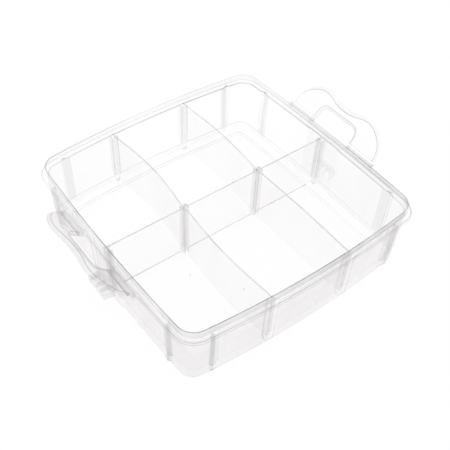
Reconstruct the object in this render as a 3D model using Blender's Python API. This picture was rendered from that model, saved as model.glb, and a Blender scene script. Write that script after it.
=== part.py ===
"""Snap-and-stack parts organizer: one clear storage layer with six
compartments, a long divider with two slotted posts, four short bowed
dividers and two swinging side latches.

Frame: metres, +Z up, +X from the left latch to the right latch, +Y from the
front wall to the back wall, z = 0 on the flat the tray stands on.
Every dimension below is in millimetres and is scaled once by MM.
"""
import math
import bpy
import bmesh
from mathutils import Vector, Matrix

for ob in list(bpy.data.objects):
    bpy.data.objects.remove(ob, do_unlink=True)
for me in list(bpy.data.meshes):
    bpy.data.meshes.remove(me)

MM = 0.001

# ------------------------------------------------------------------ outline
# Plan of the rim: four long, slightly outward-bowed sides and round corners.
HALF_X, HALF_Y = 116.2, 116.8        # collar, outer face, at mid side
BOW_X, BOW_Y = 1767.0, 934.0         # plan radius of left/right, front/back
CORNER = 16.2                        # plan radius of the collar corners
RIM_TOP = 62.6
COLLAR_FOOT = 55.4                   # where the collar meets the flange top
LEDGE = 53.8
FLANGE_LOW = 52.9
FLOOR = 3.3

FLUTE_X, FLUTE_Y = 91.4, 85.2        # flute peaks on front/back, on left/right
FLUTE_WX, FLUTE_WY = 8.2, 9.8        # length of a flute's gentle flank
SLOT = 38.5                          # divider pitch from the middle
PIN_X, PIN_Z, PIN_R = 121.4, 56.4, 1.5

CHANNEL = {"o": 1.5, "i": 1.4, "n": 0.0}   # outward step at a divider slot


def corner_centre(a, b, ra, rb, r):
    """Centre of the circle of radius r tangent inside both side arcs."""
    c1 = Vector((0.0, b - rb))
    c2 = Vector((a - ra, 0.0))
    d1, d2 = rb - r, ra - r
    d = c2 - c1
    ln = d.length
    t = (d1 * d1 - d2 * d2 + ln * ln) / (2 * ln)
    h = math.sqrt(max(d1 * d1 - t * t, 0.0))
    m = c1 + d / ln * t
    n = Vector((-d.y, d.x)) / ln
    p, q = m + n * h, m - n * h
    return p if p.x + p.y > q.x + q.y else q


def flute_line(kind, at, w):
    """Section of a flute, corner side first: steep flank, peak, long gentle
    flank; the inner surface follows the outer one at wall thickness."""
    k = {"o": 0.0, "i": 1.0, "n": 0.5}[kind]
    return [(at + 1.7 - k, 0.0), (at + 1.2 - k, 0.2), (at + 0.6 - k, 0.73), (at - k, 1.0),
            (at - 0.28 * w - 0.5 * k, 0.81), (at - 0.62 * w, 0.32), (at - w + 0.8 * k, 0.0)]


def slot_line(kind, z):
    """Section of a divider slot on the front and back walls: a wide step on
    the outer surface and a narrow groove on the inner one, both running out
    just above the foot of the wall."""
    c = CHANNEL[kind] * min(1.0, max(0.0, (z - 2.4) / 2.2))
    wide = c if kind == "o" else 0.0
    return [(SLOT + 4.6, 0.0), (SLOT + 4.0, wide), (SLOT + 1.9, wide), (SLOT + 1.5, c),
            (SLOT - 1.5, c), (SLOT - 1.9, wide), (SLOT - 4.0, wide), (SLOT - 4.6, 0.0)]


def ring(d, z, kind="n", flute=0.0, pocket=0.0, drop=0.0):
    """One closed loop of points at inset d and height z.

    kind "o" is an outer wall surface, "i" an inner one, "n" a plain one; the
    flutes and the boxed-out middle of the left and right walls only show on
    the wall surfaces. Points that stand out lie lower by drop."""
    a, b = HALF_X - d, HALF_Y - d
    ra, rb = BOW_X - d, BOW_Y - d
    r = max(CORNER - d, 7.0)
    c = corner_centre(a, b, ra, rb, r)
    tx, ty = c.x, c.y                     # roughly where the side arcs end
    squeeze_x = min(1.0, (tx - 2.0) / (FLUTE_X + 1.7))
    squeeze_y = min(1.0, (ty - 2.0) / (FLUTE_Y + 1.7))

    # back side, half of it, from the corner towards the middle
    side_y = [(x, flute * h) for x, h in flute_line(kind, FLUTE_X, FLUTE_WX)]
    side_y += [(72.0, 0.0), (57.0, 0.0)] + slot_line(kind, z) + [(18.0, 0.0)]
    # right side, half of it, from the middle towards the corner
    plate = {"o": (20.0, 21.2), "i": (18.2, 19.0), "n": (19.2, 20.2)}[kind]
    side_x = [(10.0, pocket), (plate[0], pocket), (plate[1], 0.0),
              (36.0, 0.0), (50.0, 0.0), (63.0, 0.0)]
    side_x += [(y, flute * h) for y, h in reversed(flute_line(kind, FLUTE_Y, FLUTE_WY))]

    quad = []
    for y, out in side_x:                 # right wall, going up in y
        y *= squeeze_y
        x = (a - ra) + math.sqrt(ra * ra - y * y)
        quad.append((x + out, y, z - (drop if out > 0 else 0.0)))
    c1 = Vector((0.0, b - rb))
    c2 = Vector((a - ra, 0.0))
    t2 = math.atan2(c.y - c2.y, c.x - c2.x)
    t1 = math.atan2(c.y - c1.y, c.x - c1.x)
    for k in range(7):
        t = t2 + (t1 - t2) * k / 6.0
        quad.append((c.x + r * math.cos(t), c.y + r * math.sin(t), z))
    for x, out in side_y:                 # back wall, towards the middle
        x *= squeeze_x
        y = (b - rb) + math.sqrt(rb * rb - x * x)
        quad.append((x, y + out, z - (drop if out > 0 else 0.0)))
    zp = z - (drop if pocket > 0 else 0.0)
    pts = [(a + pocket, 0.0, zp)] + quad + [(0.0, b, z)]
    pts += [(-x, y, h) for x, y, h in reversed(quad)] + [(-(a + pocket), 0.0, zp)]
    pts += [(-x, -y, h) for x, y, h in quad] + [(0.0, -b, z)]
    pts += [(x, -y, h) for x, y, h in reversed(quad)]
    return pts


def mesh_object(name, verts, faces):
    me = bpy.data.meshes.new(name)
    me.from_pydata([(x * MM, y * MM, z * MM) for x, y, z in verts], [], faces)
    ob = bpy.data.objects.new(name, me)
    bpy.context.scene.collection.objects.link(ob)
    bm = bmesh.new()
    bm.from_mesh(me)
    bmesh.ops.triangulate(bm, faces=bm.faces[:])
    bmesh.ops.recalc_face_normals(bm, faces=bm.faces[:])
    bm.to_mesh(me)
    bm.free()
    return ob


def loft(name, rings, cap_low, cap_high):
    """Stack of equal-length loops; caps are fans round a centre point."""
    n = len(rings[0])
    verts, faces = [], []
    for r in rings:
        verts += r
    for k in range(len(rings) - 1):
        for i in range(n):
            j = (i + 1) % n
            faces.append((k * n + i, k * n + j, (k + 1) * n + j, (k + 1) * n + i))
    lo = len(verts)
    verts.append(cap_low)
    hi = len(verts)
    verts.append(cap_high)
    last = (len(rings) - 1) * n
    for i in range(n):
        j = (i + 1) % n
        faces.append((i, lo, j))
        faces.append((last + i, last + j, hi))
    return mesh_object(name, verts, faces)


def box(name, lo, hi):
    (x0, y0, z0), (x1, y1, z1) = lo, hi
    v = [(x0, y0, z0), (x1, y0, z0), (x1, y1, z0), (x0, y1, z0),
         (x0, y0, z1), (x1, y0, z1), (x1, y1, z1), (x0, y1, z1)]
    f = [(0, 3, 2, 1), (4, 5, 6, 7), (0, 1, 5, 4), (1, 2, 6, 5), (2, 3, 7, 6), (3, 0, 4, 7)]
    return mesh_object(name, v, f)


def prism(name, poly, lo, hi, place):
    """Straight prism on polygon poly, place(u, v, w) gives x, y, z."""
    n = len(poly)
    v = [place(p[0], p[1], lo) for p in poly] + [place(p[0], p[1], hi) for p in poly]
    f = [tuple(range(n - 1, -1, -1)), tuple(range(n, 2 * n))]
    f += [(i, (i + 1) % n, n + (i + 1) % n, n + i) for i in range(n)]
    return mesh_object(name, v, f)


def circle(r, n, phase=0.0):
    return [(r * math.cos(phase + 2 * math.pi * k / n), r * math.sin(phase + 2 * math.pi * k / n))
            for k in range(n)]


def combine(target, tool, how):
    md = target.modifiers.new("b", "BOOLEAN")
    md.operation = how
    md.solver = "EXACT"
    md.object = tool
    dg = bpy.context.evaluated_depsgraph_get()
    dg.update()
    me = bpy.data.meshes.new_from_object(target.evaluated_get(dg))
    target.modifiers.clear()
    old = target.data
    target.data = me
    me.name = target.name
    bpy.data.meshes.remove(old)
    bpy.data.objects.remove(tool, do_unlink=True)


def clean(ob):
    bm = bmesh.new()
    bm.from_mesh(ob.data)
    bmesh.ops.remove_doubles(bm, verts=bm.verts[:], dist=2e-6)
    bmesh.ops.dissolve_degenerate(bm, edges=bm.edges[:], dist=2e-6)
    bmesh.ops.triangulate(bm, faces=bm.faces[:])
    bmesh.ops.recalc_face_normals(bm, faces=bm.faces[:])
    bm.to_mesh(ob.data)
    bm.free()


def wall_y(x):
    """Collar outer face of the back wall at x."""
    return HALF_Y - BOW_Y + math.sqrt(BOW_Y ** 2 - x * x)


# --------------------------------------------------------------------- tray
FL = 3.3                                  # how far a flute stands out
tray = loft("tray", [
    ring(18.3, 1.6), ring(16.0, 2.2), ring(6.0, 5.3), ring(4.9, 5.0, "n", 0.0, 1.4),
    ring(4.5, 0.0, "i", 0.0, 1.4), ring(3.0, 0.0, "o", 0.0, 1.5), ring(2.9, 2.4, "o", 0.0, 1.5),
    ring(2.8, 4.6, "o", 0.9 * FL, 1.6), ring(0.9, FLANGE_LOW, "o", FL, 2.2),
    ring(-3.7, FLANGE_LOW), ring(-3.7, 54.3), ring(-2.6, 55.3), ring(0.0, COLLAR_FOOT),
    ring(0.0, 62.2), ring(0.35, RIM_TOP), ring(1.05, RIM_TOP), ring(1.4, 62.2),
    ring(1.4, LEDGE), ring(2.8, LEDGE, "i", 3.0, 1.5, 0.3), ring(4.1, 8.5, "i", 3.0, 1.5),
    ring(5.2, 7.2), ring(15.7, 3.9), ring(18.0, FLOOR),
], (0, 0, 1.6), (0, 0, FLOOR))

# guide ribs for the dividers: beside four slots in the front and back walls
# and one in the middle of the left and right walls, with a short stub under
# each; u is the depth in from the collar's outer face
for sx in (-1, 1):
    for sy in (-1, 1):
        yw = wall_y(SLOT)
        for side in (-1, 1):
            x0, x1 = sorted((sx * SLOT + side * 1.3, sx * SLOT + side * 4.0))
            combine(tray, prism("rib", [(6.2, 5.9), (3.5, 5.9), (1.9, 53.2), (6.2, 53.2)], x0, x1,
                                lambda u, v, w, sy=sy: (w, sy * (yw - u), v)), "UNION")
        combine(tray, box("stub", (sx * SLOT - 1.7, min(sy * (yw - 7.4), sy * (yw - 3.4)), 0.5),
                          (sx * SLOT + 1.7, max(sy * (yw - 7.4), sy * (yw - 3.4)), 5.7)), "UNION")
for sx in (-1, 1):
    for side in (-1, 1):
        y0, y1 = sorted((side * 1.3, side * 4.0))
        combine(tray, prism("rib", [(6.9, 5.9), (2.0, 5.9), (0.5, 53.2), (6.9, 53.2)], y0, y1,
                            lambda u, v, w, sx=sx: (sx * (HALF_X - u), w, v)), "UNION")
    xa, xb = sx * (HALF_X - 7.4), sx * (HALF_X - 2.4)
    combine(tray, box("stub", (min(xa, xb), -1.7, 0.5), (max(xa, xb), 1.7, 5.7)), "UNION")

# catch ledges low on the outside of the left and right walls
for sx in (-1, 1):
    def put(u, v, w, sx=sx):
        return (sx * u, w, v)
    catch = prism("catch", [(115.4, 16.2), (124.9, 16.2), (124.9, 11.6), (126.4, 11.6), (126.4, 17.4),
                            (126.0, 17.8), (116.9, 17.8), (116.9, 19.3), (116.3, 20.5), (115.4, 20.5)],
                  -12.6, 12.6, put)
    for y in (-12.6, -3.9, 2.7, 11.4):
        combine(catch, prism("gusset", [(114.7, 9.0), (125.6, 11.8), (125.6, 17.0), (114.7, 17.0)],
                             y + (0.02 if y > -12 else 0.0), y + 1.2 - (0.02 if y < 11 else 0.0), put), "UNION")
    combine(tray, catch, "UNION")

# hinge lugs standing on the flange, two per latch foot
for sx in (-1, 1):
    for y0 in (-54.0, -24.2, 21.6, 51.4):
        def put(u, v, w, sx=sx):
            return (sx * u, w, v)
        arc = [(PIN_X + 2.9 * math.cos(t), PIN_Z + 2.9 * math.sin(t))
               for t in [math.radians(a) for a in range(-70, 91, 20)]]
        lug = prism("lug", arc + [(117.2, PIN_Z + 2.9), (117.2, 53.6), (PIN_X, 53.6)], y0, y0 + 2.6, put)
        bore = prism("bore", [(PIN_X + p, PIN_Z + q) for p, q in circle(1.6, 20)], y0 - 1, y0 + 3.6, put)
        combine(lug, bore, "DIFFERENCE")
        combine(tray, lug, "UNION")

# four low round bosses on the floor near the corners
for sx in (-1, 1):
    for sy in (-1, 1):
        def put(u, v, w, sx=sx, sy=sy):
            return (sx * 88.2 + u, sy * 84.7 + v, w)
        combine(tray, prism("boss", circle(2.5, 12, 0.11), FLOOR - 0.7, FLOOR + 0.7, put), "UNION")
clean(tray)


# ------------------------------------------------------------------ dividers
TOP = 56.3
T = 0.75                                  # half thickness of a divider


def long_divider():
    """Straight plate through both slotted posts, its lower corners following
    the sloping band of the floor."""
    prof = [(-98.2, 3.65), (98.2, 3.65), (100.8, 4.35), (111.2, 7.6), (111.2, TOP - 0.6),
            (110.6, TOP), (-110.6, TOP), (-111.2, TOP - 0.6), (-111.2, 7.6), (-100.8, 4.35)]
    ob = prism("long_divider", prof, -T, T, lambda u, v, w: (u, w, v))
    for sx in (-1, 1):
        post = prism("post", circle(4.0, 20, math.pi / 20), 3.6, 57.0,
                     lambda u, v, w, sx=sx: (sx * SLOT + u, v, w))
        for sy in (-1, 1):
            y0, y1 = sy * 1.35, sy * 5.2
            combine(post, box("slot", (sx * SLOT - 1.2, min(y0, y1), 2.0),
                              (sx * SLOT + 1.2, max(y0, y1), 60.0)), "DIFFERENCE")
        combine(ob, post, "UNION")
    clean(ob)
    return ob


def short_divider(name, sx, sy, bow):
    """Thin plate from a post slot to a wall slot, bowed in plan."""
    ys = [1.9, 6.0] + [6.0 + 100.5 * k / 10 for k in range(1, 10)] + [106.5, 110.9, 112.6]
    floor_z = {}
    ys = sorted(set(ys) | {97.9, 100.4})
    line = []
    for y in ys:
        t = min(1.0, max(0.0, (y - 6.0) / 100.5))
        x = sx * SLOT + bow * math.sin(math.pi * t)
        z0 = 3.65 if y <= 97.95 else (3.65 + (y - 97.9) / 2.5 * 0.7 if y <= 100.4
                                      else 4.35 + (y - 100.4) / 10.5 * 3.25 if y <= 110.95 else 8.45)
        slope = bow * math.cos(math.pi * t) * math.pi / 100.5 if 6.0 < y < 106.5 else 0.0
        line.append((x, sy * y, z0, sy * slope))
    verts, faces = [], []
    for x, y, z0, s in line:
        n = Vector((1.0, -s)).normalized()
        for side in (-T, T):
            for z in (z0, TOP):
                verts.append((x + n.x * side, y + n.y * side, z))
    m = len(line)
    for k in range(m - 1):
        a, b = 4 * k, 4 * (k + 1)
        faces += [(a, b, b + 1, a + 1), (a + 2, a + 3, b + 3, b + 2),
                  (a, a + 2, b + 2, b), (a + 1, b + 1, b + 3, a + 3)]
    faces += [(0, 1, 3, 2), (4 * m - 4, 4 * m - 2, 4 * m - 1, 4 * m - 3)]
    return mesh_object(name, verts, faces)


long_divider()
short_divider("short_divider_back_left", -1, 1, 4.4)
short_divider("short_divider_back_right", 1, 1, 3.0)
short_divider("short_divider_front_left", -1, -1, -2.9)
short_divider("short_divider_front_right", 1, -1, 0.9)


# ------------------------------------------------------------------- latches
# Half of the face outline (y, s), s measured out from the hinge pin, then the
# finger cut-out that opens towards the hinge.
WING = [(0.0, 22.6), (6.0, 22.9), (12.0, 24.0), (17.5, 25.8), (22.5, 27.0), (28.0, 27.2),
        (34.0, 25.7), (39.5, 22.6), (44.0, 18.8), (47.4, 14.4), (49.6, 9.4), (50.6, 3.4)]
CUT = [(0.0, 18.8), (8.0, 18.8), (15.0, 18.8), (19.4, 17.6), (22.3, 14.2), (23.5, 9.6), (23.8, 3.4)]


def offset_poly(poly, dist):
    """Move every edge of a counter-clockwise polygon outwards by its own
    distance; corners go where the moved edges meet."""
    n = len(poly)
    out = []
    for i in range(n):
        p0, p1, p2 = Vector(poly[i - 1]), Vector(poly[i]), Vector(poly[(i + 1) % n])
        e1, e2 = (p1 - p0).normalized(), (p2 - p1).normalized()
        n1, n2 = Vector((e1.y, -e1.x)), Vector((e2.y, -e2.x))
        d1, d2 = dist[i - 1], dist[i]
        det = n1.x * n2.y - n1.y * n2.x
        if abs(det) < 0.05:
            q = p1 + n1 * (0.5 * (d1 + d2))
        else:
            q = Vector(((d1 * n2.y - d2 * n1.y) / det, (n1.x * d2 - n2.x * d1) / det)) + p1
        out.append((q.x, q.y))
    return out


def lip(y, s):
    """How far the drooping outer lip reaches past the wing's outline: most
    in the dip between the two lobes, nothing at the hinge ends."""
    t = min(1.0, abs(y) / 26.0)
    reach = 4.0 - 1.3 * t * t * (3 - 2 * t)
    return reach * min(1.0, max(0.0, (s - 3.4) / 13.0))


def latch(name, sx, tilt):
    poly = [(-y, s) for y, s in reversed(WING)] + WING[1:] + \
           [(y, s) for y, s in reversed(CUT)] + [(-y, s) for y, s in CUT[1:]]
    outer = [True] * (2 * len(WING) - 1) + [False] * (2 * len(CUT) - 1)
    area = sum(poly[i - 1][0] * poly[i][1] - poly[i][0] * poly[i - 1][1] for i in range(len(poly)))
    if area < 0:
        poly.reverse()
        outer.reverse()
    n = len(poly)

    def layer(d, k):
        """Outline moved out by d round the finger cut-out and by a third of
        it round the wing, where the lip is pulled out by k of its reach."""
        res = []
        for i in range(n):
            j = (i + 1) % n
            a, b = poly[i], poly[j]
            hinge_edge = abs(a[1] - 3.4) < 1e-6 and abs(b[1] - 3.4) < 1e-6
            res.append(0.0 if hinge_edge else (d / 3.0 if outer[i] and outer[j] else d))
        return [(y, s + (k * lip(*poly[i]) if outer[i] else 0.0))
                for i, (y, s) in enumerate(offset_poly(poly, res))]

    t = math.radians(tilt)
    out = Vector((sx * math.cos(t), 0, math.sin(t)))      # away from the pin
    nrm = Vector((-sx * math.sin(t), 0, math.cos(t)))     # upper side of the plate

    def place(y, s, h):
        p = Vector((sx * PIN_X, y, PIN_Z)) + out * s + nrm * h
        return (p.x, p.y, p.z)

    layers = [(-0.35, 0.0, -0.55), (1.1, 0.45, -1.75), (2.6, 0.97, -1.4), (2.75, 1.0, -0.95),
              (0.7, 0.15, 0.75), (0.0, 0.0, 1.0)]
    verts, faces = [], []
    for d, k, h in layers:
        verts += [place(y, s, h) for y, s in layer(d, k)]
    for k in range(len(layers) - 1):
        for i in range(n):
            j = (i + 1) % n
            faces.append((k * n + i, k * n + j, (k + 1) * n + j, (k + 1) * n + i))
    faces.append(tuple(range(n - 1, -1, -1)))
    faces.append(tuple(range((len(layers) - 1) * n, len(layers) * n)))
    ob = mesh_object(name, verts, faces)
    for side in (-1, 1):
        arm = prism("arm", [(0.2, -0.5), (4.6, -0.45), (4.6, 0.85), (0.2, 0.95)], side * 25.3, side * 49.6,
                    lambda u, v, w: place(w, u, v))
        pin = prism("pin", circle(PIN_R, 20, math.pi / 20), side * 22.0, side * 53.4,
                    lambda u, v, w: place(w, u, v))
        combine(arm, pin, "UNION")
        combine(ob, arm, "UNION")
    clean(ob)
    return ob


latch("latch_left", -1, 42.0)
latch("latch_right", 1, 52.0)


# ----------------------------------------------------------------- materials
def material(name, colour, rough, alpha):
    m = bpy.data.materials.new(name)
    m.use_nodes = True
    b = m.node_tree.nodes["Principled BSDF"]
    b.inputs["Base Color"].default_value = (*colour, 1.0)
    b.inputs["Roughness"].default_value = rough
    b.inputs["Alpha"].default_value = alpha
    m.diffuse_color = (*colour, alpha)
    return m


clear = material("clear_polypropylene", (0.86, 0.85, 0.86), 0.25, 0.45)
for ob in bpy.data.objects:
    if ob.type == "MESH":
        ob.data.materials.clear()
        ob.data.materials.append(clear)
        for p in ob.data.polygons:
            p.use_smooth = False
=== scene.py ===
import math

import bpy
import bmesh
from mathutils import Matrix, Vector


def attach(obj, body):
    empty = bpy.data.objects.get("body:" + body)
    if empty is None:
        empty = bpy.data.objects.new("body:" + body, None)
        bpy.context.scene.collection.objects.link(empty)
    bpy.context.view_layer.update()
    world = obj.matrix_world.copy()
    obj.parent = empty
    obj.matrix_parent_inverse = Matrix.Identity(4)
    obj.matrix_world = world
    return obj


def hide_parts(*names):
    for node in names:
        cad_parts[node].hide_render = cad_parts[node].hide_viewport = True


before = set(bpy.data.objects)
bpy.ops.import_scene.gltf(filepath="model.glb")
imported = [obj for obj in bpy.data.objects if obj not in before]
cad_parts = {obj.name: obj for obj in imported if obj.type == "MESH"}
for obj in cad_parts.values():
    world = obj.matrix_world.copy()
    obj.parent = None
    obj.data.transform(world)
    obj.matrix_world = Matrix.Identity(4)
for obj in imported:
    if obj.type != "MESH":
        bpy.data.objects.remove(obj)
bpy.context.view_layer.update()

MM = 0.001

# ------------------------------------------------------------- plan dimensions
HALF_X, HALF_Y = 116.2, 116.8
BOW_X, BOW_Y = 1767.0, 934.0
CORNER = 16.2
RIM_TOP = 62.6
LEDGE = 53.8
FLANGE_LOW = 52.9
FLOOR = 3.3
FLUTE_X, FLUTE_Y = 91.4, 85.2            # peaks of the corner flutes
FLUTE_WX, FLUTE_WY = 8.2, 9.8            # length of their gentle flanks
SLOT = 38.5
PIN_X, PIN_Z, PIN_R = 121.4, 56.4, 1.5

CHANNEL = {"o": 1.5, "i": 1.4, "n": 0.0}  # outward step at a divider slot
CORNER_STEPS = 24

# material slots, the same list on every piece
WALL, RIB, FAINT, LINE, DARK, COLLAR, BARREL, LIP, EDGE_ON, SKIN, WING_SKIN = range(11)
RIM_LINE, LEDGE_LINE, JOINT, POST, LUG, CATCH, TOP_LINE, POCKET, FLANGE = range(11, 20)


def smooth01(t):
    t = min(1.0, max(0.0, t))
    return t * t * (3 - 2 * t)


def corner_centre(a, b, ra, rb, r):
    """Centre of the circle of radius r tangent inside both side arcs."""
    c1, c2 = Vector((0.0, b - rb)), Vector((a - ra, 0.0))
    d1, d2 = rb - r, ra - r
    d = c2 - c1
    ln = d.length
    t = (d1 * d1 - d2 * d2 + ln * ln) / (2 * ln)
    h = math.sqrt(max(d1 * d1 - t * t, 0.0))
    m = c1 + d / ln * t
    n = Vector((-d.y, d.x)) / ln
    p, q = m + n * h, m - n * h
    return p if p.x + p.y > q.x + q.y else q


def flute_line(kind, at, w):
    """Section of a flute, corner side first: steep flank, peak, gentle flank."""
    k = {"o": 0.0, "i": 1.0, "n": 0.5}[kind]
    out = [(at + 1.7 * (1 - t) - k, smooth01(t)) for t in (0.0, 0.15, 0.3, 0.45, 0.6, 0.75, 0.9)]
    w2 = w - 1.8 * k
    out += [(at - k - w2 * t, 1.0 - smooth01(t)) for t in (0.0, 0.1, 0.2, 0.3, 0.42, 0.55, 0.7, 0.85, 1.0)]
    return out


def slot_line(kind, z):
    """Section of a divider slot: wide step outside, narrow groove inside,
    both running out just above the foot of the wall."""
    c = CHANNEL[kind] * min(1.0, max(0.0, (z - 2.4) / 2.2))
    wide = c if kind == "o" else 0.0
    flank = [(4.75, 0.0), (4.5, 0.15 * wide), (4.15, 0.85 * wide), (3.9, wide), (1.9, wide),
             (1.75, wide + 0.15 * (c - wide)), (1.6, wide + 0.85 * (c - wide)), (1.45, c)]
    return [(SLOT + u, h) for u, h in flank] + [(SLOT - u, h) for u, h in reversed(flank)]


def ring(d, z, kind="n", flute=0.0, pocket=0.0, drop=0.0):
    """One closed loop at inset d and height z: [(x, y, z, fluted)], fluted
    1 on a steep flank, 2 on a gentle one, 3 on a slot, 4 on the boxed-out
    middle of the left and right walls."""
    a, b = HALF_X - d, HALF_Y - d
    ra, rb = BOW_X - d, BOW_Y - d
    r = max(CORNER - d, 7.0)
    c = corner_centre(a, b, ra, rb, r)
    squeeze_x = min(1.0, (c.x - 2.0) / (FLUTE_X + 1.7))
    squeeze_y = min(1.0, (c.y - 2.0) / (FLUTE_Y + 1.7))

    side_x = [(y, pocket, 4) for y in (4.0, 8.0, 12.0, 16.0)]
    lo, hi = {"o": (19.2, 21.4), "i": (17.6, 19.4), "n": (18.4, 20.4)}[kind]
    side_x += [(lo + (hi - lo) * t, pocket * (1 - smooth01(t)), 4) for t in (0.0, 0.25, 0.5, 0.75, 1.0)]
    side_x += [(y, 0.0, 0) for y in (26.0, 33.0, 40.0, 48.0, 56.0, 64.0, 70.0)]
    side_x += [(y, flute * h, 1 if i < 8 else 2)
               for i, (y, h) in enumerate(flute_line(kind, FLUTE_Y, FLUTE_WY))][::-1]
    side_y = [(x, flute * h, 1 if i < 8 else 2) for i, (x, h) in enumerate(flute_line(kind, FLUTE_X, FLUTE_WX))]
    side_y += [(x, 0.0, 0) for x in (76.0, 68.0, 60.0, 52.0)]
    side_y += [(x, h, 3) for x, h in slot_line(kind, z)]
    side_y += [(x, 0.0, 0) for x in (28.0, 20.0, 10.0)]

    quad = []
    for y, out, f in side_x:
        y *= squeeze_y
        x = (a - ra) + math.sqrt(ra * ra - y * y)
        quad.append((x + out, y, z - (drop if out > 1e-6 else 0.0), f))
    c1, c2 = Vector((0.0, b - rb)), Vector((a - ra, 0.0))
    t2 = math.atan2(c.y - c2.y, c.x - c2.x)
    t1 = math.atan2(c.y - c1.y, c.x - c1.x)
    for k in range(CORNER_STEPS + 1):
        t = t2 + (t1 - t2) * k / CORNER_STEPS
        quad.append((c.x + r * math.cos(t), c.y + r * math.sin(t), z, 0))
    for x, out, f in side_y:
        x *= squeeze_x
        y = (b - rb) + math.sqrt(rb * rb - x * x)
        quad.append((x, y + out, z - (drop if out > 1e-6 else 0.0), f))
    zp = z - (drop if pocket > 0 else 0.0)
    pts = [(a + pocket, 0.0, zp, 4)] + quad + [(0.0, b, z, 0)]
    pts += [(-x, y, h, f) for x, y, h, f in reversed(quad)] + [(-(a + pocket), 0.0, zp, 4)]
    pts += [(-x, -y, h, f) for x, y, h, f in quad] + [(0.0, -b, z, 0)]
    pts += [(x, -y, h, f) for x, y, h, f in reversed(quad)]
    return pts


# --------------------------------------------------------------- mesh helpers
def make_mesh(name, verts, faces, mats=None, bevel=0.0, segments=2, limit=30.0):
    """A linked object from millimetre points, closed and facing out; bevel
    rounds every edge sharper than limit degrees."""
    me = bpy.data.meshes.new(name)
    me.from_pydata([(x * MM, y * MM, z * MM) for x, y, z in verts], [], faces)
    if mats is not None:
        me.polygons.foreach_set("material_index", mats)
    bm = bmesh.new()
    bm.from_mesh(me)
    bmesh.ops.recalc_face_normals(bm, faces=bm.faces[:])
    if bevel > 0:
        sharp = [e for e in bm.edges if len(e.link_faces) == 2 and e.calc_face_angle(0.0) > math.radians(limit)]
        bmesh.ops.bevel(bm, geom=sharp, offset=bevel * MM, offset_type="OFFSET", segments=segments,
                        profile=0.5, affect="EDGES", clamp_overlap=True, material=-1)
    bm.to_mesh(me)
    bm.free()
    ob = bpy.data.objects.new(name, me)
    bpy.context.scene.collection.objects.link(ob)
    return ob


def loft(name, rings, band_mats, cap_low, cap_high, cap_mats):
    """Stack of equal-length loops with a fan on each end."""
    n = len(rings[0])
    verts, faces, mats = [], [], []
    for r in rings:
        verts += [p[:3] for p in r]
    for k in range(len(rings) - 1):
        for i in range(n):
            j = (i + 1) % n
            faces.append((k * n + i, k * n + j, (k + 1) * n + j, (k + 1) * n + i))
            m = band_mats[k]
            fa, fb = rings[k][i][3], rings[k][j][3]
            if m in (WALL, SKIN) and fa and fb and flute_band[k]:
                m = EDGE_ON if fa == fb == 1 else FAINT if fa == fb == 3 else POCKET if fa == fb == 4 else RIB
            mats.append(m)
    lo = len(verts)
    verts.append(cap_low)
    hi = len(verts)
    verts.append(cap_high)
    last = (len(rings) - 1) * n
    for i in range(n):
        j = (i + 1) % n
        faces.append((i, lo, j))
        mats.append(cap_mats[0])
        faces.append((last + i, last + j, hi))
        mats.append(cap_mats[1])
    return make_mesh(name, verts, faces, mats)


def prism(name, poly, lo, hi, place, mat=WALL, bevel=0.0, segments=2, limit=30.0):
    n = len(poly)
    v = [place(p[0], p[1], lo) for p in poly] + [place(p[0], p[1], hi) for p in poly]
    f = [tuple(range(n - 1, -1, -1)), tuple(range(n, 2 * n))]
    f += [(i, (i + 1) % n, n + (i + 1) % n, n + i) for i in range(n)]
    return make_mesh(name, v, f, [mat] * len(f), bevel, segments, limit)


def block(name, lo, hi, mat=WALL, bevel=0.0):
    x0, x1 = sorted((lo[0], hi[0]))
    y0, y1 = sorted((lo[1], hi[1]))
    return prism(name, [(x0, y0), (x1, y0), (x1, y1), (x0, y1)], lo[2], hi[2],
                 lambda u, v, w: (u, v, w), mat, bevel)


def circle(r, n, phase=0.0):
    return [(r * math.cos(phase + 2 * math.pi * k / n), r * math.sin(phase + 2 * math.pi * k / n))
            for k in range(n)]


def join(objects, name):
    """Several meshes in one object, materials by index."""
    bm = bmesh.new()
    for ob in objects:
        bm.from_mesh(ob.data)
    me = bpy.data.meshes.new(name)
    bm.to_mesh(me)
    bm.free()
    for ob in objects:
        bpy.data.objects.remove(ob, do_unlink=True)
    ob = bpy.data.objects.new(name, me)
    bpy.context.scene.collection.objects.link(ob)
    return ob


def combine(target, tool, how, overlapping=False):
    md = target.modifiers.new("b", "BOOLEAN")
    md.operation = how
    md.solver = "EXACT"
    md.material_mode = "INDEX"
    md.use_self = overlapping
    md.object = tool
    bpy.context.view_layer.update()
    dg = bpy.context.evaluated_depsgraph_get()
    me = bpy.data.meshes.new_from_object(target.evaluated_get(dg))
    target.modifiers.clear()
    target.data = me
    bpy.data.objects.remove(tool, do_unlink=True)


def finish_mesh(ob, angle=28.0):
    bm = bmesh.new()
    bm.from_mesh(ob.data)
    bmesh.ops.remove_doubles(bm, verts=bm.verts[:], dist=2e-6)
    bmesh.ops.dissolve_degenerate(bm, edges=bm.edges[:], dist=2e-6)
    bmesh.ops.recalc_face_normals(bm, faces=bm.faces[:])
    bm.to_mesh(ob.data)
    bm.free()
    ob.data.shade_smooth()
    ob.data.set_sharp_from_angle(angle=math.radians(angle))


def wall_y(x):
    return HALF_Y - BOW_Y + math.sqrt(BOW_Y ** 2 - x * x)


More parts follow.
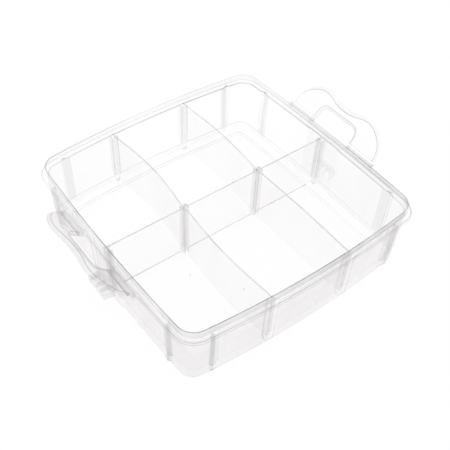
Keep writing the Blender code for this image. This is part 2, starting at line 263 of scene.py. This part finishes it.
# ------------------------------------------------------------------------ tray
FL = 3.3
PROFILE = [  # inset, height, kind, flute, pocket, drop, material of the band above
    (18.6, 1.6, "n", 0, 0, 0, WALL), (17.4, 1.75, "n", 0, 0, 0, WALL), (16.0, 2.2, "n", 0, 0, 0, WALL),
    (7.0, 5.0, "n", 0, 0, 0, WALL), (6.0, 5.3, "n", 0, 0, 0, WALL), (4.9, 5.0, "n", 0, 1.4, 0, WALL),
    (4.55, 0.5, "i", 0, 1.4, 0, WALL), (4.4, 0.12, "i", 0, 1.4, 0, FAINT), (4.1, 0.0, "i", 0, 1.4, 0, FAINT),
    (3.4, 0.0, "o", 0, 1.5, 0, FAINT), (3.1, 0.12, "o", 0, 1.5, 0, FAINT), (2.98, 0.5, "o", 0, 1.5, 0, SKIN),
    (2.9, 2.4, "o", 0, 1.5, 0, SKIN), (2.88, 3.1, "o", 0.3 * FL, 1.52, 0, SKIN),
    (2.84, 3.9, "o", 0.72 * FL, 1.56, 0, SKIN), (2.8, 4.9, "o", 0.92 * FL, 1.6, 0, SKIN),
    (1.85, 28.0, "o", FL, 1.9, 0, SKIN), (0.97, 51.4, "o", FL, 2.2, 0, SKIN), (0.85, 52.3, "o", FL, 2.2, 0, FAINT),
    (0.4, 52.8, "o", FL, 2.2, 0, FAINT), (-0.1, FLANGE_LOW, "n", 0, 0, 0, WALL),
    (-3.35, FLANGE_LOW, "n", 0, 0, 0, LINE), (-3.62, 53.0, "n", 0, 0, 0, LINE), (-3.7, 53.25, "n", 0, 0, 0, LINE),
    (-3.7, 53.5, "n", 0, 0, 0, FLANGE), (-3.7, 54.0, "n", 0, 0, 0, FLANGE), (-3.5, 54.45, "n", 0, 0, 0, FLANGE),
    (-3.0, 54.95, "n", 0, 0, 0, LINE), (-2.5, 55.25, "n", 0, 0, 0, FLANGE), (-0.75, 55.4, "n", 0, 0, 0, FLANGE),
    (-0.25, 55.5, "n", 0, 0, 0, COLLAR),
    (-0.02, 55.95, "n", 0, 0, 0, COLLAR), (0.0, 58.8, "n", 0, 0, 0, COLLAR), (0.0, 62.0, "n", 0, 0, 0, FAINT),
    (0.12, 62.42, "n", 0, 0, 0, FAINT), (0.42, RIM_TOP, "n", 0, 0, 0, RIM_LINE),
    (0.98, RIM_TOP, "n", 0, 0, 0, RIM_LINE),
    (1.28, 62.42, "n", 0, 0, 0, RIM_LINE), (1.4, 62.0, "n", 0, 0, 0, COLLAR), (1.4, 58.0, "n", 0, 0, 0, COLLAR),
    (1.4, 54.4, "n", 0, 0, 0, FAINT), (1.55, 53.98, "n", 0, 0, 0, LEDGE_LINE), (1.95, LEDGE, "n", 0, 0, 0, LEDGE_LINE),
    (2.5, LEDGE, "i", 3.0, 1.5, 0.3, LEDGE_LINE), (2.8, 53.5, "i", 3.0, 1.5, 0.3, WALL),
    (3.45, 31.0, "i", 3.0, 1.5, 0, WALL), (4.0, 11.0, "i", 3.0, 1.5, 0, WALL), (4.08, 9.4, "i", 3.0, 1.5, 0, WALL),
    (4.25, 8.5, "i", 3.0, 1.5, 0, WALL), (4.7, 7.7, "n", 0, 0, 0, JOINT), (5.4, 7.15, "n", 0, 0, 0, WALL),
    (6.5, 6.75, "n", 0, 0, 0, WALL), (15.2, 4.08, "n", 0, 0, 0, JOINT), (16.0, 3.86, "n", 0, 0, 0, WALL),
    (17.5, 3.42, "n", 0, 0, 0, JOINT), (18.2, FLOOR, "n", 0, 0, 0, WALL), (30.0, FLOOR, "n", 0, 0, 0, WALL),
]
flute_band = [max(p[3], q[3]) > 0 for p, q in zip(PROFILE, PROFILE[1:])]
tray = loft("tray_body", [ring(*p[:6]) for p in PROFILE], [p[6] for p in PROFILE],
            (0, 0, 1.6), (0, 0, FLOOR), (WALL, WALL))

fittings = []
for sx in (-1, 1):
    for sy in (-1, 1):
        yw = wall_y(SLOT)
        for side in (-1, 1):
            x0, x1 = sorted((sx * SLOT + side * 1.3, sx * SLOT + side * 4.0))
            fittings.append(prism("rib", [(6.2, 5.9), (3.5, 5.9), (1.9, 53.2), (6.2, 53.2)], x0, x1,
                                  lambda u, v, w, sy=sy, yw=yw: (w, sy * (yw - u), v), RIB, 0.35))
        fittings.append(block("stub", (sx * SLOT - 1.7, sy * (yw - 7.4), 0.5),
                              (sx * SLOT + 1.7, sy * (yw - 3.4), 5.7), RIB, 0.3))
for sx in (-1, 1):
    for side in (-1, 1):
        y0, y1 = sorted((side * 1.3, side * 4.0))
        fittings.append(prism("rib", [(6.9, 5.9), (2.0, 5.9), (0.5, 53.2), (6.9, 53.2)], y0, y1,
                              lambda u, v, w, sx=sx: (sx * (HALF_X - u), w, v), RIB, 0.35))
    fittings.append(block("stub", (sx * (HALF_X - 7.4), -1.7, 0.5), (sx * (HALF_X - 2.4), 1.7, 5.7), RIB, 0.3))

for sx in (-1, 1):
    def put(u, v, w, sx=sx):
        return (sx * u, w, v)
    fittings.append(prism("catch", [(115.4, 16.2), (124.9, 16.2), (124.9, 11.6), (126.4, 11.6), (126.4, 17.8),
                                    (116.9, 17.8), (116.9, 19.3), (116.3, 20.5), (115.4, 20.5)],
                          -12.6, 12.6, put, CATCH, 0.3))
    for y in (-12.6, -3.9, 2.7, 11.4):
        fittings.append(prism("gusset", [(114.7, 9.0), (125.6, 11.8), (125.6, 17.0), (114.7, 17.0)],
                              y + (0.02 if y > -12 else 0.05), y + 1.2 - (0.02 if y < 11 else 0.05), put, CATCH))
    for y0 in (-54.0, -24.2, 21.6, 51.4):
        arc = [(PIN_X + 2.9 * math.cos(t), PIN_Z + 2.9 * math.sin(t))
               for t in [math.radians(a) for a in range(-70, 91, 8)]]
        lug = prism("lug", arc + [(117.2, PIN_Z + 2.9), (117.2, 53.6), (PIN_X, 53.6)], y0, y0 + 2.6, put,
                    LUG, 0.25)
        bore = prism("bore", [(PIN_X + p, PIN_Z + q) for p, q in circle(1.6, 40)], y0 - 1, y0 + 3.6, put, LUG)
        combine(lug, bore, "DIFFERENCE")
        fittings.append(lug)
for sx in (-1, 1):
    for sy in (-1, 1):
        fittings.append(prism("boss", circle(2.5, 36, 0.11), FLOOR - 0.7, FLOOR + 0.7,
                              lambda u, v, w, sx=sx, sy=sy: (sx * 88.2 + u, sy * 84.7 + v, w), FAINT, 0.25))
# gate vestiges, small flat nubs left on the floor by moulding
for x, y, r in ((-51.0, -25.8, 0.5), (-23.0, -63.8, 0.55), (-32.0, -61.9, 0.4)):
    fittings.append(prism("gate", circle(r, 16), FLOOR - 0.5, FLOOR + 0.25,
                          lambda u, v, w, x=x, y=y: (x + u, y + v, w), DARK, 0.1))
combine(tray, join(fittings, "fittings"), "UNION", True)
finish_mesh(tray)

# -------------------------------------------------------------------- dividers
TOP = 56.3
T = 0.75


def long_divider():
    prof = [(-98.2, 3.65), (98.2, 3.65), (100.8, 4.35), (111.2, 7.6), (111.2, TOP - 0.6),
            (110.6, TOP), (-110.6, TOP), (-111.2, TOP - 0.6), (-111.2, 7.6), (-100.8, 4.35)]
    n = len(prof)
    v = [(u, -T, w) for u, w in prof] + [(u, T, w) for u, w in prof]
    f = [tuple(range(n)), tuple(range(2 * n - 1, n - 1, -1))]
    m = [WALL, WALL]
    for i in range(n):
        f.append((i, (i + 1) % n, n + (i + 1) % n, n + i))
        m.append(TOP_LINE if 4 <= i <= 6 else LINE if i in (0, 1, 9) else FAINT)
    ob = make_mesh("long_divider_plate", v, f, m, 0.3, 3, 60.0)
    for sx in (-1, 1):
        w, y0, r = 1.2, 1.35, 4.0
        a0 = math.asin(w / r)
        half = []
        for k in range(25):                      # right-hand arc, low y to high y
            t = -math.pi / 2 + a0 + (math.pi - 2 * a0) * k / 24
            half.append((r * math.cos(t), r * math.sin(t)))
        plan = half + [(w, y0), (-w, y0)] + [(-x, -y) for x, y in half] + [(-w, -y0), (w, -y0)]
        post = prism("post", plan, 3.6, 57.0, lambda u, v, w_, sx=sx: (sx * SLOT + u, v, w_), POST, 0.25, 2, 50.0)
        for p in post.data.polygons:
            if p.normal.z > 0.7:
                p.material_index = LINE
        combine(ob, post, "UNION")
    finish_mesh(ob)
    return ob


def short_divider(name, sx, sy, bow):
    """Plate bowed in plan, with rounded top and bottom; its ends are flat."""
    ys = [1.9 + (110.9 - 1.9) * k / 60 for k in range(61)] + [97.9, 100.4, 112.6]
    ys = sorted(set(ys))
    line = []
    for y in ys:
        t = min(1.0, max(0.0, (y - 6.0) / 100.5))
        x = sx * SLOT + bow * math.sin(math.pi * t)
        z0 = 3.65 if y <= 97.95 else (3.65 + (y - 97.9) / 2.5 * 0.7 if y <= 100.4
                                      else 4.35 + (y - 100.4) / 10.5 * 3.25 if y <= 110.95 else 8.45)
        slope = bow * math.cos(math.pi * t) * math.pi / 100.5 if 6.0 < y < 106.5 else 0.0
        line.append((x, sy * y, z0, sy * slope))
    # section of the plate, across (t) and up from the foot or down from the top
    sec = [(-0.4, 0, 0.0), (-0.75, 0, 0.35), (-0.75, 1, -0.4), (-0.62, 1, -0.12), (-0.35, 1, 0.0),
           (0.35, 1, 0.0), (0.62, 1, -0.12), (0.75, 1, -0.4), (0.75, 0, 0.35), (0.4, 0, 0.0)]
    secm = [FAINT, WALL, FAINT, TOP_LINE, TOP_LINE, TOP_LINE, FAINT, WALL, FAINT, FAINT]
    verts, faces, mats = [], [], []
    for x, y, z0, s in line:
        n = Vector((1.0, -s)).normalized()
        for t, top, dz in sec:
            verts.append((x + n.x * t, y + n.y * t, (TOP if top else z0) + dz))
    m, q = len(line), len(sec)
    for k in range(m - 1):
        for i in range(q):
            j = (i + 1) % q
            faces.append((k * q + i, k * q + j, (k + 1) * q + j, (k + 1) * q + i))
            mats.append(secm[i])
    faces += [tuple(range(q - 1, -1, -1)), tuple(range((m - 1) * q, m * q))]
    mats += [FAINT, FAINT]
    ob = make_mesh(name, verts, faces, mats)
    finish_mesh(ob)
    return ob


dividers = {
    "long_divider": long_divider(),
    "short_divider_back_left": short_divider("divider_plate_back_left", -1, 1, 4.4),
    "short_divider_back_right": short_divider("divider_plate_back_right", 1, 1, 3.0),
    "short_divider_front_left": short_divider("divider_plate_front_left", -1, -1, -2.9),
    "short_divider_front_right": short_divider("divider_plate_front_right", 1, -1, 0.9),
}

# --------------------------------------------------------------------- latches
WING = [(0.0, 22.6), (6.0, 22.9), (12.0, 24.0), (17.5, 25.8), (22.5, 27.0), (28.0, 27.2),
        (34.0, 25.7), (39.5, 22.6), (44.0, 18.8), (47.4, 14.4), (49.6, 9.4), (50.6, 3.4)]
CUT = [(0.0, 18.8), (8.0, 18.8), (15.0, 18.8), (19.4, 17.6), (22.3, 14.2), (23.5, 9.6), (23.8, 3.4)]


def spline(pts, steps):
    """Catmull-Rom curve through pts."""
    out = []
    for i in range(len(pts) - 1):
        p0, p1, p2, p3 = pts[max(i - 1, 0)], pts[i], pts[i + 1], pts[min(i + 2, len(pts) - 1)]
        for k in range(steps):
            t = k / steps
            out.append(tuple(0.5 * (2 * b + (c - a) * t + (2 * a - 5 * b + 4 * c - d) * t * t
                                    + (3 * b - a - 3 * c + d) * t ** 3)
                             for a, b, c, d in zip(p0, p1, p2, p3)))
    out.append(tuple(pts[-1]))
    return out


WING_LINE = spline([(-y, s) for y, s in reversed(WING)] + WING[1:], 6)
CUT_LINE = spline([(y, s) for y, s in reversed(CUT)] + [(-y, s) for y, s in CUT[1:]], 6)


def moved(line, d, side):
    """The open line moved sideways by d, its two ends kept at their s."""
    out = []
    n = len(line)
    for i, (y, s) in enumerate(line):
        if i in (0, n - 1):
            out.append((y + d * side * (1 if y > 0 else -1), s))
            continue
        ty, ts = line[i + 1][0] - line[i - 1][0], line[i + 1][1] - line[i - 1][1]
        ln = math.hypot(ty, ts)
        out.append((y - ts / ln * d, s + ty / ln * d))
    return out


def lip(y, s):
    t = min(1.0, abs(y) / 26.0)
    reach = 4.0 - 1.3 * t * t * (3 - 2 * t)
    return reach * min(1.0, max(0.0, (s - 3.4) / 13.0))


# d round the finger cut-out, share of the lip's reach, height, material of the
# band that follows round the wing and round the cut-out
LATCH_LAYERS = [
    (-0.6, 0.0, -0.5, WING_SKIN, WING_SKIN), (-0.1, 0.0, -0.6, LIP, LIP), (1.0, 0.42, -1.55, LIP, LIP),
    (1.5, 0.6, -1.72, LIP, LIP), (2.3, 0.92, -1.55, LIP, LINE), (2.62, 0.98, -1.35, FAINT, LINE),
    (2.75, 1.0, -1.05, LIP, LINE), (2.55, 0.93, -0.72, LIP, LIP), (1.4, 0.45, 0.1, LIP, LIP),
    (0.75, 0.16, 0.62, DARK, LINE), (0.35, 0.05, 0.92, LINE, LINE), (-0.15, 0.0, 1.0, WING_SKIN, WING_SKIN),
]


def latch(name, sx, tilt):
    t = math.radians(tilt)
    out = Vector((sx * math.cos(t), 0, math.sin(t)))
    nrm = Vector((-sx * math.sin(t), 0, math.cos(t)))

    def place(y, s, h):
        p = Vector((sx * PIN_X, y, PIN_Z)) + out * s + nrm * h
        return (p.x, p.y, p.z)

    nw, nc = len(WING_LINE), len(CUT_LINE)
    n = nw + nc
    verts, faces, mats = [], [], []
    for d, k, h, _, _ in LATCH_LAYERS:
        wing = moved(WING_LINE, d / 3.0, 1)
        wing = [(y, s + k * lip(*WING_LINE[i])) for i, (y, s) in enumerate(wing)]
        cut = moved(CUT_LINE, d, -1)
        verts += [place(y, s, h) for y, s in wing + cut]
    for k in range(len(LATCH_LAYERS) - 1):
        for i in range(n):
            j = (i + 1) % n
            faces.append((k * n + i, k * n + j, (k + 1) * n + j, (k + 1) * n + i))
            if i == nw - 1 or i == n - 1:
                mats.append(LINE)
            else:
                mats.append(LATCH_LAYERS[k][3] if i < nw else LATCH_LAYERS[k][4])
    faces.append(tuple(range(n - 1, -1, -1)))
    faces.append(tuple(range((len(LATCH_LAYERS) - 1) * n, len(LATCH_LAYERS) * n)))
    mats += [WING_SKIN, WING_SKIN]
    ob = make_mesh(name, verts, faces, mats)
    for side in (-1, 1):
        arm = prism("arm", [(0.2, -0.5), (4.6, -0.45), (4.6, 0.85), (0.2, 0.95)], side * 25.3, side * 49.6,
                    lambda u, v, w: place(w, u, v), WING_SKIN, 0.2)
        pin = prism("pin", circle(PIN_R, 40, math.pi / 40), side * 22.0, side * 53.4,
                    lambda u, v, w: place(w, u, v), BARREL, 0.25, 2, 50.0)
        combine(arm, pin, "UNION")
        combine(ob, arm, "UNION")
    finish_mesh(ob)
    return ob


latches = {"latch_left": latch("latch_wing_left", -1, 42.0),
           "latch_right": latch("latch_wing_right", 1, 52.0)}


# ------------------------------------------------------------------- materials
def clear_plastic(name, colour, alpha, graze, power, rough, side_shade_shares=(0.75, 1.3), side_shade_way=(0.0, 1.0),
                  ior=1.49, vary=0.3, bump=0.05):
    """Clear moulded plastic: mostly see-through face on, denser at a grazing
    view where more plastic lies along the line of sight; flow marks and fine
    scuffs vary how dense and how glossy it is. Across the plan, against the
    given direction, its density is scaled between the two given shares: a
    painted shade that darkens one side and pales the other as reflections
    and light fall on them, not a change in the plastic."""
    m = bpy.data.materials.new(name)
    m.use_nodes = True
    m.surface_render_method = "BLENDED"
    nt = m.node_tree
    nt.nodes.clear()
    N, L = nt.nodes.new, nt.links.new
    outp = N("ShaderNodeOutputMaterial")
    mix = N("ShaderNodeMixShader")
    see_n = N("ShaderNodeBsdfTransparent")
    see_n.inputs["Color"].default_value = (1.0, 1.0, 1.0, 1.0)
    p = N("ShaderNodeBsdfPrincipled")
    p.inputs["IOR"].default_value = ior
    L(mix.outputs[0], outp.inputs["Surface"])
    L(see_n.outputs[0], mix.inputs[1])
    L(p.outputs[0], mix.inputs[2])

    co = N("ShaderNodeTexCoord")
    stretch = N("ShaderNodeMapping")
    stretch.inputs["Scale"].default_value = (1.0, 1.0, 0.35)
    L(co.outputs["Object"], stretch.inputs["Vector"])
    flow = N("ShaderNodeTexNoise")                      # slow flow marks
    flow.inputs["Scale"].default_value = 26.0
    flow.inputs["Detail"].default_value = 3.0
    flow.inputs["Distortion"].default_value = 0.7
    L(stretch.outputs[0], flow.inputs["Vector"])
    scuff = N("ShaderNodeTexNoise")                     # fine scuffs
    scuff.inputs["Scale"].default_value = 420.0
    scuff.inputs["Detail"].default_value = 5.0
    scuff.inputs["Roughness"].default_value = 0.65
    L(co.outputs["Object"], scuff.inputs["Vector"])

    lw = N("ShaderNodeLayerWeight")
    lw.inputs["Blend"].default_value = 0.5
    pw = N("ShaderNodeMath")
    pw.operation = "POWER"
    pw.inputs[1].default_value = power
    L(lw.outputs["Facing"], pw.inputs[0])
    span = N("ShaderNodeMapRange")
    span.inputs["To Min"].default_value = alpha
    span.inputs["To Max"].default_value = graze
    L(pw.outputs[0], span.inputs["Value"])
    var = N("ShaderNodeMapRange")
    var.inputs["From Min"].default_value = 0.3
    var.inputs["From Max"].default_value = 0.7
    var.inputs["To Min"].default_value = 1.0 - vary
    var.inputs["To Max"].default_value = 1.0 + vary
    L(flow.outputs["Fac"], var.inputs["Value"])
    # painted shade by side: density scaled from one given share at one end of the plan to the other along the given
    # direction, darkening or paling whole sides as reflections and light fall on them
    axes = N("ShaderNodeVectorMath")
    axes.operation = "DOT_PRODUCT"
    axes.inputs[1].default_value = (side_shade_way[0], side_shade_way[1], 0.0)
    L(co.outputs["Object"], axes.inputs[0])
    side_shade_map = N("ShaderNodeMapRange")
    side_shade_map.inputs["From Min"].default_value = 0.117
    side_shade_map.inputs["From Max"].default_value = -0.117
    side_shade_map.inputs["To Min"].default_value = side_shade_shares[0]
    side_shade_map.inputs["To Max"].default_value = side_shade_shares[1]
    L(axes.outputs["Value"], side_shade_map.inputs["Value"])
    both = N("ShaderNodeMath")
    both.operation = "MULTIPLY"
    L(side_shade_map.outputs[0], both.inputs[0])
    L(var.outputs[0], both.inputs[1])
    mul = N("ShaderNodeMath")
    mul.operation = "MULTIPLY"
    mul.use_clamp = True
    L(span.outputs[0], mul.inputs[0])
    L(both.outputs[0], mul.inputs[1])
    L(mul.outputs[0], mix.inputs[0])

    ramp = N("ShaderNodeValToRGB")
    ramp.color_ramp.elements[0].position = 0.35
    ramp.color_ramp.elements[0].color = (*[c * 0.92 for c in colour], 1.0)
    ramp.color_ramp.elements[1].position = 0.68
    ramp.color_ramp.elements[1].color = (*[min(1.0, c * 1.06) for c in colour], 1.0)
    L(flow.outputs["Fac"], ramp.inputs["Fac"])
    L(ramp.outputs["Color"], p.inputs["Base Color"])
    rr = N("ShaderNodeMapRange")
    rr.inputs["From Min"].default_value = 0.3
    rr.inputs["From Max"].default_value = 0.7
    rr.inputs["To Min"].default_value = rough * 0.75
    rr.inputs["To Max"].default_value = rough * 1.4
    L(scuff.outputs["Fac"], rr.inputs["Value"])
    L(rr.outputs[0], p.inputs["Roughness"])
    bp = N("ShaderNodeBump")
    bp.inputs["Strength"].default_value = bump
    bp.inputs["Distance"].default_value = 0.0004
    L(flow.outputs["Fac"], bp.inputs["Height"])
    L(bp.outputs[0], p.inputs["Normal"])
    return m


# in each entry the pair of shares and the direction after it paint shade by side: the walls nearer the front are
# painted darker for the skin, collar, flank, pocket, catch and rim line, and paler for the ledge line and joint,
# standing in for how reflections and light fall on each side
SHADE_DIAGONAL, SHADE_ALONG_Y = (1.0, 1.0), (0.3, 1.0)
MATERIALS = [
    clear_plastic("clear_pp_wall", (0.60, 0.50, 0.54), 0.007, 0.19, 3.2, 0.16, (0.7, 1.2)),
    clear_plastic("clear_pp_rib", (0.42, 0.40, 0.41), 0.115, 0.21, 2.0, 0.20, (1.0, 1.0)),
    clear_plastic("clear_pp_radius", (0.40, 0.39, 0.395), 0.035, 0.16, 2.2, 0.16, (0.5, 1.4)),
    clear_plastic("clear_pp_edge", (0.24, 0.235, 0.24), 0.36, 0.56, 1.8, 0.14, (0.35, 1.3), SHADE_ALONG_Y),
    clear_plastic("clear_pp_cut_edge", (0.20, 0.198, 0.20), 0.40, 0.62, 1.5, 0.16, (0.9, 1.2)),
    clear_plastic("clear_pp_collar", (0.44, 0.445, 0.425), 0.075, 0.34, 2.2, 0.14, (0.35, 1.65), (-0.4, 1.0)),
    clear_plastic("clear_pp_hinge", (0.30, 0.32, 0.305), 0.11, 0.26, 1.8, 0.18, (0.6, 1.2)),
    clear_plastic("clear_pp_lip", (0.54, 0.49, 0.505), 0.08, 0.36, 2.2, 0.18, (0.7, 1.3), SHADE_DIAGONAL),
    clear_plastic("clear_pp_flank", (0.34, 0.325, 0.33), 0.12, 0.36, 1.8, 0.18, (0.25, 1.3), (0.8, 1.0)),
    clear_plastic("clear_pp_skin", (0.52, 0.46, 0.485), 0.074, 0.11, 2.0, 0.18, (0.22, 2.3), (0.7, 1.0)),
    clear_plastic("clear_pp_wing", (0.52, 0.475, 0.49), 0.022, 0.27, 2.0, 0.18, (0.7, 1.4), SHADE_DIAGONAL),
    clear_plastic("clear_pp_rim_line", (0.15, 0.15, 0.145), 0.42, 0.60, 1.5, 0.14, (0.32, 1.5), SHADE_DIAGONAL),
    clear_plastic("clear_pp_ledge_line", (0.20, 0.195, 0.20), 0.34, 0.50, 1.5, 0.14, (1.15, 0.0), SHADE_DIAGONAL),
    clear_plastic("clear_pp_joint", (0.30, 0.29, 0.295), 0.16, 0.34, 1.8, 0.16, (1.2, 0.3)),
    clear_plastic("clear_pp_post", (0.40, 0.39, 0.39), 0.13, 0.15, 1.8, 0.18, (1.0, 1.0)),
    clear_plastic("clear_pp_lug", (0.44, 0.45, 0.44), 0.035, 0.12, 2.0, 0.18, (1.0, 1.0)),
    clear_plastic("clear_pp_catch", (0.42, 0.41, 0.41), 0.085, 0.16, 2.0, 0.18, (0.3, 1.45), SHADE_DIAGONAL),
    clear_plastic("clear_pp_top_line", (0.20, 0.20, 0.20), 0.31, 0.46, 1.6, 0.15, (0.9, 1.0)),
    clear_plastic("clear_pp_pocket", (0.50, 0.455, 0.475), 0.045, 0.13, 2.0, 0.18, (0.9, 1.9), SHADE_DIAGONAL),
    clear_plastic("clear_pp_flange", (0.48, 0.46, 0.46), 0.03, 0.22, 2.2, 0.16, (0.4, 1.6), SHADE_DIAGONAL),
]

for node, piece in [("tray", tray)] + list(dividers.items()) + list(latches.items()):
    slots = [0] * len(piece.data.polygons)
    piece.data.polygons.foreach_get("material_index", slots)
    piece.data.materials.clear()
    for m in MATERIALS:
        piece.data.materials.append(m)
    piece.data.polygons.foreach_set("material_index", slots)
    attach(piece, node)
    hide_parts(node)

# ------------------------------------------------------- floor, light, camera
bpy.ops.mesh.primitive_plane_add(size=8.0, location=(0.0, 0.0, -0.0002))
floor = bpy.context.object
floor.name = "studio_floor"
fm = bpy.data.materials.new("studio_floor_white")
fm.use_nodes = True
b = fm.node_tree.nodes["Principled BSDF"]
b.inputs["Base Color"].default_value = (0.22, 0.22, 0.22, 1.0)
b.inputs["Roughness"].default_value = 0.9
b.inputs["Specular IOR Level"].default_value = 0.0
b.inputs["Emission Color"].default_value = (1.0, 1.0, 1.0, 1.0)   # lit from beneath, like a light table
b.inputs["Emission Strength"].default_value = 0.78
floor.data.materials.append(fm)

world = bpy.data.worlds.new("studio_world")
bpy.context.scene.world = world
world.use_nodes = True
bg = world.node_tree.nodes["Background"]
bg.inputs["Color"].default_value = (1.0, 1.0, 1.0, 1.0)
bg.inputs["Strength"].default_value = 1.06


def softbox(name, at, size, power, to=(0.0, 0.0, 0.03)):
    ld = bpy.data.lights.new(name, "AREA")
    ld.shape = "RECTANGLE"
    ld.size, ld.size_y = size
    ld.energy = power
    ob = bpy.data.objects.new(name, ld)
    bpy.context.scene.collection.objects.link(ob)
    ob.location = at
    ob.rotation_euler = (Vector(to) - Vector(at)).to_track_quat("-Z", "Y").to_euler()
    return ob


softbox("softbox_top", (-0.25, 0.35, 3.2), (2.4, 2.4), 4.0)

cam_data = bpy.data.cameras.new("camera")
cam = bpy.data.objects.new("camera", cam_data)
bpy.context.scene.collection.objects.link(cam)
bpy.context.scene.camera = cam
YAW, PITCH, ROLL = math.radians(34.99), math.radians(47.55), math.radians(-0.19)
fwd = Vector((math.sin(YAW) * math.cos(PITCH), math.cos(YAW) * math.cos(PITCH), -math.sin(PITCH)))
right = Vector((math.cos(YAW), -math.sin(YAW), 0.0))
up = right.cross(fwd)
r2 = right * math.cos(ROLL) + up * math.sin(ROLL)
u2 = up * math.cos(ROLL) - right * math.sin(ROLL)
rot = Matrix((r2, u2, -fwd)).transposed()
cam.location = (-0.2826, -0.3504, 0.5010)
cam.rotation_euler = rot.to_euler()
cam_data.sensor_width = 36.0
cam_data.lens = 60.28
cam_data.shift_x = 0.0875
cam_data.shift_y = 0.0016
cam_data.clip_start = 0.01
cam_data.clip_end = 50.0

scene = bpy.context.scene
scene.cycles.max_bounces = 10
scene.cycles.transparent_max_bounces = 64
scene.view_settings.view_transform = "Standard"
scene.view_settings.look = "None"
